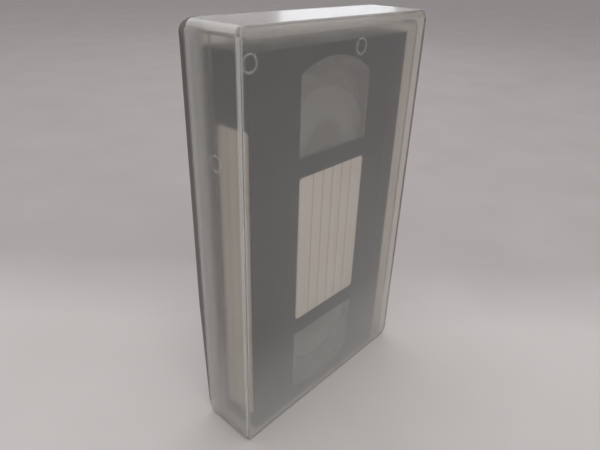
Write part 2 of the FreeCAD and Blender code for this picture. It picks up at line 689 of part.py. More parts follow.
def spine_label_box(gap):
    y = y_face + d.spine_label_low
    return (y + gap, z_low + d.spine_label_start + gap, y + d.spine_label_width - gap,
            z_high - d.spine_label_end - gap)


def nose_ends():
    """For each end: the span cut away for the door's cheek, the nose's wall, its floor."""
    near, far = z_low + nose_end, z_high - nose_end
    wall = d.shell_wall
    return [((z_low - d.overcut, near), (near, near + wall), (near, near + d.nose_length)),
            ((far, z_high + d.overcut), (far - wall, far), (far - d.nose_length, far))]


def shell_half(label, start, end, y_inside, outer_face):
    """One shell: a rounded box to the front wall, hollowed, open at the tape's ends."""
    body = new_body(label)
    wall = d.shell_wall
    slab("Pad", body, FRONT, start, end, (x_label_edge, z_low, x_front_wall, z_high),
         corners=(d.shell_corner, None, None, d.shell_corner))
    flat = outer_face.value
    round_edges(body, d.shell_edge,
                lambda box: box.YLength < 1e-6 and abs(box.YMin - flat) < 1e-6
                and box.XMin < x_step.value)
    hollow_start, hollow_end = (y_inside, end) if outer_face is start else (start, y_inside)
    slab("Pocket", body, FRONT, hollow_start, hollow_end,
         (x_label_edge + wall, z_low + wall, x_front_wall - wall, z_high - wall))
    for cheek, nose_wall, nose_floor in nose_ends():
        slab("Pocket", body, FRONT, start - d.overcut, end + d.overcut,
             (x_step, cheek[0], x_front_wall + d.overcut, cheek[1]))
        slab("Pad", body, FRONT, hollow_start, hollow_end,
             (x_step - wall, nose_wall[0], x_nose, nose_wall[1]))
        slab("Pocket", body, FRONT, hollow_start, hollow_end,
             (x_step, nose_floor[0] + wall, x_front_wall + d.overcut, nose_floor[1] - wall))
    slab("Pocket", body, SIDE, x_label_edge - d.overcut, x_label_edge + d.label_recess,
         spine_label_box(ZERO), corners=(d.label_corner,) * 4)
    return body


def upper_shell():
    body = shell_half("upper_shell", y_face, y_parting, y_roof_inside, y_face)
    near, far = z_low + nose_end, z_high - nose_end
    slab("Pocket", body, FRONT, y_face - d.overcut, y_nose_roof,
         (x_step, z_low - d.overcut, x_front_wall + d.overcut, z_high + d.overcut))
    slab("Pad", body, FRONT, y_nose_roof, y_nose_inside,
         (x_step - d.shell_wall, near, x_nose, far))
    slab("Pocket", body, FRONT, y_face - d.overcut, y_face + d.label_recess, label_box(ZERO),
         corners=(d.label_corner,) * 4)
    for side in (-1, 1):
        window = new_sketch(body, FRONT, y_face - d.overcut)
        draw_window(window, side, ZERO)
        extrude("Pocket", window, d.shell_wall + d.overcut * 2)
    discs("Pad", body, FRONT, y_roof_inside, y_parting, d.boss_radius, SCREW_PLACES)
    discs("Pocket", body, FRONT, y_parting - d.upper_height / 2, y_parting + d.overcut,
          d.screw_radius + d.screw_hole_gap, SCREW_PLACES)
    pivots = [(x_door_face - d.pivot_setback, y_face + d.pivot_drop)]
    bore = d.pivot_radius + d.pin_fit
    discs("Pocket", body, PLAN, near - d.overcut, near + d.shell_wall, bore, pivots)
    discs("Pocket", body, PLAN, far - d.shell_wall, far + d.overcut, bore, pivots)
    return body


def lower_shell():
    body = shell_half("lower_shell", y_parting, y_under, y_floor_inside, y_under)
    reels = [(x_reel, z_supply), (x_reel, z_take_up)]
    y_sunk = y_floor_inside + d.sink
    y_outside = y_under + d.overcut
    for cheek, nose_wall, nose_floor in nose_ends():
        slab("Pad", body, FRONT, y_floor_inside, y_under,
             (x_step - d.shell_wall, nose_floor[0], x_nose, nose_floor[1]))
    discs("Pad", body, FRONT, y_flange_under + d.rest_gap, y_sunk, d.rest_ring_radius, reels)
    inside = d.rest_ring_radius - d.rest_ring_wall
    discs("Pocket", body, FRONT, y_flange_under, y_floor_inside, inside, reels)
    discs("Pocket", body, FRONT, y_floor_inside - d.overcut, y_outside, d.reel_hole_radius,
          reels)
    # Screw bosses, drilled from below with room for the heads
    discs("Pad", body, FRONT, y_parting, y_sunk, d.boss_radius, SCREW_PLACES)
    discs("Pocket", body, FRONT, y_parting - d.overcut, y_outside,
          d.screw_radius + d.screw_hole_gap, SCREW_PLACES)
    discs("Pocket", body, FRONT, y_screw_head, y_outside,
          d.screw_head_radius + d.screw_hole_gap, SCREW_PLACES)
    # Lamp hole with its tube, and the hole for the brake release pin
    lamp = [(x_door_face - d.lamp_setback, z_middle)]
    discs("Pad", body, FRONT, y_parting + d.shell_wall, y_sunk,
          d.lamp_radius + d.lamp_tube_wall, lamp)
    discs("Pocket", body, FRONT, y_parting, y_outside, d.lamp_radius, lamp)
    discs("Pocket", body, FRONT, y_floor_inside - d.overcut, y_outside, d.release_radius,
          [(x_release, z_middle)])
    # Seats of the roller's pin and the guide post, and the brakes' pivot posts
    guides = [(x_guide, z_roller), (x_guide, z_post)]
    discs("Pad", body, FRONT, y_seat_boss, y_sunk, d.seat_boss_radius, guides)
    discs("Pocket", body, FRONT, y_seat_boss - d.overcut, y_floor_inside,
          d.roller_pin_radius + d.hub_fit, guides)
    discs("Pad", body, FRONT, y_flange - d.brake_proud * 3, y_sunk, d.brake_post_radius,
          [brake_pivot(side) for side in (-1, 1)])
    # Cradle of the release lever
    half, reach = d.lever_width / 2, d.lever_shaft_radius * 2
    outside, slot = half + d.cradle_wall, half + d.panel_gap
    slab("Pad", body, PLAN, z_middle - outside, z_middle + outside,
         (x_lever_shaft - reach, y_lever_shaft - reach * 0.8, x_lever_shaft + reach, y_sunk))
    slab("Pocket", body, PLAN, z_middle - slot, z_middle + slot,
         (x_lever_shaft - reach - d.overcut, y_lever_shaft - reach,
          x_lever_shaft + reach + d.overcut, y_floor_inside))
    drilled = half + d.cradle_wall * 0.7
    discs("Pocket", body, PLAN, z_middle - drilled, z_middle + drilled,
          d.lever_shaft_radius + d.pin_fit, [(x_lever_shaft, y_lever_shaft)])
    # Record tab and the latch's opening
    slab("Pocket", body, SIDE, x_label_edge - d.overcut, x_label_edge + d.tab_depth,
         (y_under - d.tab_back - d.tab_width, z_high - d.tab_end - d.tab_length,
          y_under - d.tab_back, z_high - d.tab_end))
    gap = d.panel_gap
    slab("Pocket", body, PLAN, z_low - d.overcut, z_low + d.shell_wall + d.sink,
         (x_latch - gap, y_latch - gap, x_latch + d.latch_length + gap,
          y_latch + d.latch_width + gap))
    return body


def window_pane(label, side):
    body = new_body(label)
    sketch = new_sketch(body, FRONT, y_face + d.window_inset)
    draw_window(sketch, side, d.window_fit)
    extrude("Pad", sketch, d.shell_wall - d.window_inset)
    return body


def face_label():
    body = new_body("face_label")
    corner = d.label_corner - d.label_fit
    slab("Pad", body, FRONT, y_face + d.label_recess - d.label_sheet,
         y_face + d.label_recess, label_box(d.label_fit), corners=(corner,) * 4)
    return body


def spine_label():
    body = new_body("spine_label")
    corner = d.label_corner - d.label_fit
    slab("Pad", body, SIDE, x_label_edge + d.label_recess - d.label_sheet,
         x_label_edge + d.label_recess, spine_label_box(d.label_fit), corners=(corner,) * 4)
    return body


# The door over the tape


def tape_door():
    body = new_body("tape_door")
    y_low = y_face + d.door_height
    top = d.door_wall
    x_back = x_door_face - d.door_depth
    slab("Pad", body, PLAN, z_low, z_high, (x_back, y_face, x_door_face, y_low))
    round_edges(body, d.door_edge,
                lambda box: box.XLength < 1e-6 and box.YLength < 1e-6
                and abs(box.XMin - x_door_face.value) < 1e-6
                and abs(box.YMin - y_face.value) < 1e-6)
    behind, below = x_back - d.overcut, y_low + d.overcut
    slab("Pocket", body, PLAN, z_low + top, z_high - top,
         (behind, y_face + top, x_door_face - top, below))
    # The cheeks slope back to the door's lower edge
    slope = [(behind, y_face + d.pivot_drop * 2), (x_door_face - top * 2, y_low - top),
             (x_door_face - top * 2, below), (behind, below)]
    prism("Pocket", body, PLAN, z_low - d.overcut, z_high + d.overcut, slope)
    pivot = [(x_door_face - d.pivot_setback, y_face + d.pivot_drop)]
    discs("Pad", body, PLAN, z_low + top - d.sink, z_low + top + d.pivot_length,
          d.pivot_radius, pivot)
    discs("Pad", body, PLAN, z_high - top - d.pivot_length, z_high - top + d.sink,
          d.pivot_radius, pivot)
    return body


def coil(label, radius, turns, length, x, y, z):
    """A closely wound spring with its axis along Z, its wire drawn six-sided."""
    half_wire = d.coil_wire.value / 2
    helix = Part.makeHelix(length.value / turns, length.value, radius.value)
    corners = [
        FreeCAD.Vector(radius.value + half_wire * math.cos(turn), 0, half_wire * math.sin(turn))
        for turn in (math.pi / 3 * step for step in range(7))
    ]
    pipe = Part.BRepOffsetAPI.MakePipeShell(helix)
    pipe.setFrenetMode(True)
    pipe.add(Part.makePolygon(corners))
    pipe.build()
    pipe.makeSolid()
    spring = doc.addObject("Part::Feature", label)
    spring.Label = label
    spring.Shape = pipe.shape()
    return place(spring, x, y, z)


def door_spring():
    wire = d.coil_wire
    near = z_low + nose_end + d.shell_wall
    return coil("door_spring", d.pivot_radius + wire * 1.5, 3, wire * 4.2,
                x_door_face - d.pivot_setback, y_face + d.pivot_drop, near + wire)


def door_latch():
    """A flat catch in the shell's lower end, with a hook that holds the door's cheek."""
    body = new_body("door_latch")
    x, y, length, width = x_latch, y_latch, d.latch_length, d.latch_width
    prism("Pad", body, PLAN, z_low + d.sink * 2, z_low + d.shell_wall,
          [(x, y + width * 0.2), (x + length * 0.2, y), (x + length, y),
           (x + length, y + width * 0.55), (x + length * 0.8, y + width * 0.55),
           (x + length * 0.8, y + width), (x, y + width)])
    return body


# Reels and tape


def reel(name, z):
    """Hub, drive bore and toothed lower flange in one moulding."""
    y_foot = y_under - d.drive_foot
    y_bore = y_reel_top + d.hub_roof
    y_hub = y_reel_top + d.top_flange_wall
    body = turned(f"{name}_reel", [
        (ZERO, y_reel_top), (d.pip_radius, y_reel_top), (d.pip_radius, y_hub),
        (d.hub_radius, y_hub), (d.hub_radius, y_flange), (flange_radius, y_flange),
        (flange_radius, y_flange_under), (d.drive_boss_radius, y_flange_under),
        (d.drive_boss_radius, y_foot), (d.drive_bore_radius, y_foot),
        (d.drive_bore_radius, y_bore), (ZERO, y_bore),
    ], x_reel, z)
    tooth = new_sketch(body, PLAN, y_flange - d.overcut)
    root, half = flange_radius - d.tooth_depth, d.tooth_gap / 2
    outside = flange_radius + d.tooth_depth / 2
    draw_polygon(tooth, [(root, ZERO), (outside, -half), (outside, half)])
    gap = extrude("Pocket", tooth, d.flange_wall + d.overcut * 2)
    repeat_round(body, gap, tooth, TOOTH_COUNT)
    spline = new_sketch(body, PLAN, y_bore + d.spline_start)
    draw_box(spline, d.drive_bore_radius - d.spline_height, -d.spline_width / 2,
             d.drive_bore_radius + d.spline_height / 4, d.spline_width / 2)
    rib = extrude("Pad", spline, y_foot - y_bore - d.spline_start - d.spline_end)
    repeat_round(body, rib, spline, SPLINE_COUNT)
    clip = new_sketch(body, PLAN, y_hub)
    slot = d.clip_width / 2 + d.hub_fit
    draw_box(clip, d.hub_radius - d.clip_depth - d.hub_fit, -slot,
             d.hub_radius + d.overcut, slot)
    extrude("Pocket", clip, y_flange - y_hub)
    return body


def top_flange(name, z):
    thickness = d.top_flange_wall
    bore, rim = d.pip_radius + d.hub_fit, flange_radius - d.top_flange_inset
    return turned(f"{name}_top_flange", [
        (bore, y_reel_top), (rim, y_reel_top), (rim, y_reel_top + thickness),
        (bore, y_reel_top + thickness),
    ], x_reel, z)


def leader_clip(name, z):
    """The clip that holds the leader in its slot, its outer face flush with the hub."""
    body = new_body(f"{name}_leader_clip")
    half = d.clip_width / 2
    slab("Pad", body, PLAN, y_pack, y_pack + d.tape_width,
         (d.hub_radius - d.clip_depth, -half, d.hub_radius - d.clip_depth * 0.45, half))
    place(body, x_reel, ZERO, z, FreeCAD.Rotation(FreeCAD.Vector(1, 0, 0), -90))
    return body


def tape_pack(name, z, radius):
    hub = d.hub_radius + d.hub_fit
    return turned(f"{name}_tape_pack", [
        (hub, y_pack), (radius, y_pack), (radius, y_pack + d.tape_width),
        (hub, y_pack + d.tape_width),
    ], x_reel, z)


def tangent_angle(big, small, side):
    """Angle of the radius where a straight run leaves a pack towards a guide."""
    across = x_guide.value - x_reel.value
    up = (small[1] - big[1]).value
    length = math.hypot(across, up)
    lean = math.asin((big[2] - small[2]) / length)
    return math.atan2(up, across) + side * (math.pi / 2 - lean)


def tape_run():
    """The tape's free run: off each pack, round both guides and across the mouth."""
    gap, thick = d.tape_gap.value, d.tape_sheet.value
    ends = [(z_supply, d.supply_pack, z_roller, d.roller_radius, 1),
            (z_take_up, d.take_up_pack, z_post, d.post_radius, -1)]
    inner, outer = [], []
    for z_pack, pack, z_guide, guide, side in ends:
        big = (x_reel.value, z_pack, pack.value + gap)
        small = (x_guide.value, z_guide, guide.value + gap / 2)
        angle = tangent_angle(big, small, side)
        for points, extra in ((inner, 0), (outer, thick)):
            stretch = [(x_reel.value, z_pack.value, big[2] + extra, angle)]
            stretch += [(x_guide.value, z_guide.value, small[2] + extra, turn)
                        for turn in (angle, angle / 2, 0)]
            points.append([FreeCAD.Vector(x + radius * math.cos(turn), y_pack.value,
                                          z + radius * math.sin(turn))
                           for x, z, radius, turn in stretch])
    edges = []
    for (supply, take_up) in (inner, outer):
        edges += [Part.LineSegment(supply[0], supply[1]).toShape(),
                  Part.Arc(supply[1], supply[2], supply[3]).toShape(),
                  Part.LineSegment(supply[3], take_up[3]).toShape(),
                  Part.Arc(take_up[3], take_up[2], take_up[1]).toShape(),
                  Part.LineSegment(take_up[1], take_up[0]).toShape()]
    edges += [Part.LineSegment(inner[side][0], outer[side][0]).toShape()
              for side in (0, 1)]
    outline = Part.Face(Part.Wire(Part.sortEdges(edges)[0]))
    run = doc.addObject("Part::Feature", "tape_run")
    run.Label = "tape_run"
    run.Shape = outline.extrude(FreeCAD.Vector(0, d.tape_width.value, 0))
    return place(run)


def pin(label, radius, x, z):
    """A steel pin along Y from the nose's roof to the lower shell's floor."""
    cylinder = doc.addObject("Part::Cylinder", label)
    cylinder.Label = label
    cylinder.setExpression("Radius", radius.text)
    cylinder.setExpression("Height", (y_floor_inside - y_nose_inside).text)
    return place(cylinder, x, y_nose_inside, z,
                 FreeCAD.Rotation(FreeCAD.Vector(1, 0, 0), -90))


def guide_roller():
    bore = d.roller_pin_radius + d.pin_fit
    rim = d.roller_rim
    waist = d.roller_radius - rim
    start, end = y_pack - rim, y_pack + d.tape_width
    return turned("guide_roller", [
        (bore, start), (waist, start), (d.roller_radius, start + rim * 2),
        (d.roller_radius, end - rim * 2), (waist, end), (bore, end),
    ], x_guide, z_roller)


def guide_post():
    """A turned steel post, thinner where it stands in its seat."""
    foot = d.roller_pin_radius
    return turned("guide_post", [
        (ZERO, y_nose_inside), (d.post_radius, y_nose_inside),
        (d.post_radius, y_seat_boss), (foot, y_seat_boss), (foot, y_floor_inside),
        (ZERO, y_floor_inside),
    ], x_guide, z_post)


def slack_leaf():
    """A bent leaf that keeps the tape against the roller."""
    body = new_body("slack_leaf")
    z_wall = z_high - d.shell_wall - d.panel_gap
    thick = d.slack_sheet
    path = [(x_guide - d.slack_foot, z_wall - thick),
            (x_guide - d.slack_bend, z_wall - thick * 10),
            (x_guide + d.slack_tip, z_roller + d.roller_radius + d.slack_room)]
    back = [(x, z + thick) for x, z in reversed(path)]
    prism("Pad", body, FRONT, y_pack + d.slack_edge, y_pack + d.tape_width - d.slack_edge,
          path + back)
    return body


def slack_felt():
    body = new_body("slack_felt")
    z_rim = z_roller + d.roller_radius
    edge = d.slack_edge * 1.25
    slab("Pad", body, FRONT, y_pack + edge, y_pack + d.tape_width - edge,
         (x_guide - d.slack_tip * 1.5, z_rim + d.tape_gap + d.tape_sheet,
          x_guide + d.slack_tip, z_rim + d.slack_room - d.sink))
    return body


# Brakes and small springs


def brake_tip(side):
    """Where a brake's tip stands, just off the teeth: +1 supply, -1 take-up."""
    z_centre = z_middle + reel_spacing / 2 * side
    return x_brake_tip, z_centre - brake_rise * side


def brake_pivot(side):
    inward = d.shell_wall + d.brake_room + d.brake_arm * 1.1
    return x_label_edge + inward, brake_tip(side)[1] - d.brake_drop * side


def brake_pawl(label, side):
    """An arm from the toothed rim over its pivot to the tail that the spring pulls."""
    body = new_body(label)
    x_tip, z_tip = brake_tip(side)
    x, z = brake_pivot(side)
    wide = d.brake_arm / 2
    high = wide * side
    arm = [(x_tip, z_tip), (x_tip + wide * 0.27, z_tip - high * 1.07),
           (x + wide * 0.67, z - high * 0.87), (x - wide * 0.83, z - high),
           (x - wide * 2.2, z - high * 0.87), (x - wide * 2.2, z + high * 0.13),
           (x - wide * 0.83, z + high * 0.8), (x + wide * 0.27, z + high),
           (x_tip - wide * 1.17, z_tip - high * 0.2)]
    start = y_flange - d.brake_proud
    prism("Pad", body, FRONT, start, start + d.brake_wall, arm)
    discs("Pocket", body, FRONT, start - d.overcut, start + d.brake_wall + d.overcut,
          d.brake_post_radius + d.pin_fit, [(x, z)])
    return body


def brake_spring():
    x, z = brake_pivot(-1)
    wire, wide = d.coil_wire, d.brake_arm / 2
    start = z + wide * 0.87 + d.panel_gap + wire / 2
    return coil("brake_spring", wire * 2.6, 6, (z_middle - start) * 2, x - wide * 1.67,
                y_flange + d.brake_proud, start)


def brake_release_lever():
    body = new_body("brake_release_lever")
    half = d.lever_width / 2
    x, y, thick = x_lever_shaft, y_lever_shaft, d.lever_shaft_radius * 1.2
    reach = d.lever_setback + d.release_radius
    tail = x - d.lever_tail
    prism("Pad", body, PLAN, z_middle - half, z_middle + half,
          [(tail, y - thick), (tail, y), (x, y + thick / 2), (x + reach, y),
           (x + reach, y - thick), (x, y - thick)])
    shaft = half + d.cradle_wall * 0.6
    discs("Pad", body, PLAN, z_middle - shaft, z_middle + shaft, d.lever_shaft_radius,
          [(x, y)])
    return body


def pressure_spring():
    """One leaf, flat under the roof in the middle, bowed down on to both reel pips."""
    body = new_body("pressure_spring")
    thick = d.leaf_wall
    y_end = y_reel_top - d.tape_gap - thick
    reach = reel_spacing / 2
    y_tip = y_end - d.leaf_lift
    path = [(y_tip, z_middle - reach - d.leaf_end), (y_end, z_middle - reach),
            (y_roof_inside, z_middle - d.leaf_foot), (y_roof_inside, z_middle + d.leaf_foot),
            (y_end, z_middle + reach), (y_tip, z_middle + reach + d.leaf_end)]
    back = [(y + thick, z) for y, z in reversed(path)]
    prism("Pad", body, SIDE, x_reel - d.leaf_width / 2, x_reel + d.leaf_width / 2,
          path + back)
    return body


def shell_screws():
    """Five screws from below, as separate solids of one group."""
    y_head, shank, head = y_screw_head, d.screw_radius, d.screw_head_radius
    y_point = y_head - d.screw_length
    profile = [
        (ZERO, y_point), (shank, y_point + shank), (shank, y_head), (head, y_head),
        (head, y_head + d.screw_head * 0.6), (head * 0.6, y_head + d.screw_head),
        (head * 0.35, y_head + d.screw_head), (ZERO, y_head + d.screw_head * 0.4),
    ]
    screws = [turned("screw", profile, x, z) for x, z in SCREW_PLACES]
    group = doc.addObject("Part::Compound", "shell_screws")
    group.Label = "shell_screws"
    group.Links = screws
    return group


pieces = [
    front_cover(), spine_panel(), back_tray(), upper_shell(), lower_shell(),
    window_pane("supply_window", 1), window_pane("take_up_window", -1),
    face_label(), spine_label(), tape_door(), door_spring(), door_latch(),
    tape_run(), pin("roller_pin", d.roller_pin_radius, x_guide, z_roller),
    guide_roller(), guide_post(), slack_leaf(), slack_felt(),
    brake_pawl("supply_brake", 1), brake_pawl("take_up_brake", -1),
    brake_spring(), brake_release_lever(), pressure_spring(), shell_screws(),
]
for name, z_reel, pack_radius in REELS:
    pieces += [reel(name, z_reel), top_flange(name, z_reel), leader_clip(name, z_reel),
               tape_pack(name, z_reel, pack_radius)]
doc.recompute()

faults = [
    f"{item.Name} {item.State}"
    for item in doc.Objects
    if {"Invalid", "Error"} & set(item.State)
]
faults += [
    f"{piece.Label} has no valid shape"
    for piece in pieces
    if piece.Shape.isNull() or not piece.Shape.isValid()
]
if faults:
    raise RuntimeError("; ".join(faults))

os.makedirs("parts", exist_ok=True)
for piece in pieces:
    piece.Shape.exportStep(os.path.join("parts", f"{piece.Label}.step"))
    print(piece.Label, len(piece.Shape.Solids), round(piece.Shape.Volume, 1))
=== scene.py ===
import json
import math

import bpy
from bpy.props import FloatProperty, FloatVectorProperty, PointerProperty
from mathutils import Matrix, Vector

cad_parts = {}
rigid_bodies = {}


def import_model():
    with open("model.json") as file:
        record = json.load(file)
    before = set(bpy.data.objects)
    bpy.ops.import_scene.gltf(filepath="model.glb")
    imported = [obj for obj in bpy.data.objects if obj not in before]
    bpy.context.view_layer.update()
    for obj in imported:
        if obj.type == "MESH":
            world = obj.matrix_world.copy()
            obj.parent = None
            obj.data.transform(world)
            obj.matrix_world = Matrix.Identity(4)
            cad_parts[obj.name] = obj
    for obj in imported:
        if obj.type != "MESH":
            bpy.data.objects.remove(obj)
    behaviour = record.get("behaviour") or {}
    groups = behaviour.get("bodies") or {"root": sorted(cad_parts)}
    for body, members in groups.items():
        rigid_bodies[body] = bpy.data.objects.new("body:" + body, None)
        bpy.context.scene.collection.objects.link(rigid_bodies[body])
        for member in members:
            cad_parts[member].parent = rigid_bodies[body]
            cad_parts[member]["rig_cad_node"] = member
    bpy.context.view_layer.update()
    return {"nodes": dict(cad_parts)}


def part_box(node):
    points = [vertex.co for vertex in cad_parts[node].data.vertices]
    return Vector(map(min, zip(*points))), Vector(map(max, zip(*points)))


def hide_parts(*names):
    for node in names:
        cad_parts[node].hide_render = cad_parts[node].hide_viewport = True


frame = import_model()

bl_info = {
    "name": "Video Cassette in a Library Case",
    "version": (1, 0, 0),
    "blender": (4, 5, 0),
    "location": "View3D > Sidebar > Cassette",
    "description": "Dresses a video cassette and its translucent hinged case",
    "category": "Object",
}

MM = 0.001

# Ejector marks: radius, then places across and up each panel
MARK_RADIUS = 3.25 * MM
COVER_MARKS = ((-55.4 * MM, 186.3 * MM), (9.3 * MM, 186.4 * MM), (34.9 * MM, 23.6 * MM))
SPINE_MARKS = ((-2.0 * MM, 48.0 * MM), (-2.0 * MM, 146.6 * MM))
CASE_PANELS = (("front_cover", "X", COVER_MARKS), ("spine_panel", "Y", SPINE_MARKS),
               ("back_tray", "X", ()))

# Radius on each reel's tape pack out to which a brighter reflection is painted
PAINTED_REFLECTION_RADIUS = {"supply": 28.4 * MM, "take_up": 26.0 * MM}

# Where the writing lines stand, as shares of a label's width
FACE_LINES = (0.2, 0.35, 0.5, 0.65, 0.8)
SPINE_LINES = (0.33, 0.66)

# The middle of a noise pattern, which is spread to its full range
PATTERN_LOW = 0.3
PATTERN_HIGH = 0.7

# Stage, in metres and watts
CAMERA_PLACE = (-0.17834, -0.15275, 0.21966)
CAMERA_FORWARD = (0.65926, 0.59039, -0.46564)
CAMERA_RIGHT = (0.67840, -0.73409, 0.02974)
CAMERA_LENS_MM = 30.59
FLOOR_SIZE = 16
FLOOR_AWAY = (0.745, 0.667, 0)
LAMP_AIM = (0, 0, 0.1)
LAMPS = (
    ("overhead_softbox", (0.1, 0.1, 1.5), 1.6, 13.0),
    ("front_softbox", (-0.7, -1.3, 0.8), 1.2, 6.5),
    ("rear_softbox", (1.07, 0.85, 0.46), 0.34, 0.45),
)


def linear(code):
    """An sRGB hex colour as linear RGBA."""
    channels = [int(code[i:i + 2], 16) / 255 for i in (1, 3, 5)]
    lit = [c / 12.92 if c <= 0.04045 else ((c + 0.055) / 1.055) ** 2.4 for c in channels]
    return (*lit, 1.0)


def add_node(tree, kind, settings=None, inputs=None):
    """Adds a shader node and returns its outputs. The inputs, by name or number, take
    plain values or another node's output."""
    made = tree.nodes.new(f"ShaderNode{kind}")
    for name, value in (settings or {}).items():
        setattr(made, name, value)
    for key, value in (inputs or {}).items():
        socket = made.inputs[key]
        if isinstance(value, bpy.types.NodeSocket):
            tree.links.new(value, socket)
        else:
            socket.default_value = value
    return made.outputs


def new_material(name, **surface):
    """A material with one Principled shader; returns it with its tree and shader."""
    material = bpy.data.materials.new(name)
    material.use_nodes = True
    tree = material.node_tree
    shader = tree.nodes["Principled BSDF"]
    for socket, value in surface.items():
        shader.inputs[socket.replace("_", " ")].default_value = value
    return material, tree, shader


def surface_grain(tree, shader, pattern, gloss, depth, strength):
    """Lets one pattern break up the gloss and give the surface its fine relief."""
    rough = add_node(tree, "MapRange", inputs={
        "Value": pattern, "From Min": PATTERN_LOW, "From Max": PATTERN_HIGH,
        "To Min": gloss[0], "To Max": gloss[1]})[0]
    relief = add_node(tree, "Bump", inputs={
        "Height": pattern, "Distance": depth, "Strength": strength})[0]
    tree.links.new(rough, shader.inputs["Roughness"])
    tree.links.new(relief, shader.inputs["Normal"])


def two_tones(tree, pattern, tones):
    """A colour that goes from the first tone to the second with the pattern."""
    share = add_node(tree, "MapRange", inputs={
        "Value": pattern, "From Min": PATTERN_LOW, "From Max": PATTERN_HIGH})[0]
    return add_node(tree, "Mix", {"data_type": "RGBA"},
                    {0: share, 6: tones[0], 7: tones[1]})[2]


# Whitening and painted light on the case


def hinge_painted_light(tree, axes):
    """Painted light along the spine: a painted highlight on the front hinge edge, and a band
    towards the rear hinge painted lighter.
    """
    low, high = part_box("spine_panel")
    spine_side = add_node(tree, "MapRange", inputs={
        "Value": axes["X"], "From Min": low.x + 2.4 * MM, "From Max": low.x + 1.6 * MM,
        "To Max": 0.5})[0]
    front = add_node(tree, "MapRange", inputs={
        "Value": axes["Y"], "From Min": low.y + 1.5 * MM, "From Max": low.y + 1.0 * MM})[0]
    rear = add_node(tree, "MapRange", inputs={
        "Value": axes["Y"], "From Min": high.y - 13 * MM, "From Max": high.y - 3 * MM,
        "To Max": 0.8})[0]
    hinges = add_node(tree, "Math", {"operation": "MAXIMUM"}, {0: front, 1: rear})[0]
    return add_node(tree, "Math", {"operation": "MULTIPLY"}, {0: spine_side, 1: hinges})[0]


def edge_painted_highlight(tree, normal):
    """A painted highlight along the moulding's edges and rounded corners."""
    rounded = add_node(tree, "Bevel", {"samples": 4}, {"Radius": 1.6 * MM})[0]
    geometry = add_node(tree, "NewGeometry")["Normal"]
    facing = add_node(tree, "VectorMath", {"operation": "DOT_PRODUCT"},
                      {0: rounded, 1: geometry})["Value"]
    near_edge = add_node(tree, "MapRange", inputs={
        "Value": facing, "From Min": 0.99, "From Max": 0.85, "To Max": 0.5})[0]
    sides = add_node(tree, "VectorMath", {"operation": "ABSOLUTE"}, {0: normal})[0]
    sides = add_node(tree, "SeparateXYZ", inputs={"Vector": sides})
    square = add_node(tree, "Math", {"operation": "MAXIMUM"}, {0: sides["Y"], 1: sides["Z"]})[0]
    square = add_node(tree, "Math", {"operation": "MAXIMUM"}, {0: sides["X"], 1: square})[0]
    corner = add_node(tree, "MapRange", inputs={
        "Value": square, "From Min": 0.985, "From Max": 0.94, "To Max": 0.5})[0]
    return add_node(tree, "Math", {"operation": "MAXIMUM"}, {0: near_edge, 1: corner})[0]


def mark_whitening(tree, place, across, mark):
    """A faint ring where an ejector pin met the panel."""
    centre = {"X": (mark[0], 0, mark[1]), "Y": (0, mark[0], mark[1])}[across]
    plane = {"X": (1, 0, 1), "Y": (0, 1, 1)}[across]
    offset = add_node(tree, "VectorMath", {"operation": "SUBTRACT"}, {0: place, 1: centre})[0]
    offset = add_node(tree, "VectorMath", {"operation": "MULTIPLY"}, {0: offset, 1: plane})[0]
    span = add_node(tree, "VectorMath", {"operation": "LENGTH"}, {0: offset})["Value"]
    beside = add_node(tree, "Math", {"operation": "SUBTRACT"}, {0: span, 1: MARK_RADIUS})[0]
    beside = add_node(tree, "Math", {"operation": "ABSOLUTE"}, {0: beside})[0]
    return add_node(tree, "MapRange", inputs={
        "Value": beside, "From Min": 0.7 * MM, "From Max": 0.2 * MM, "To Max": 0.22})[0]


# Materials


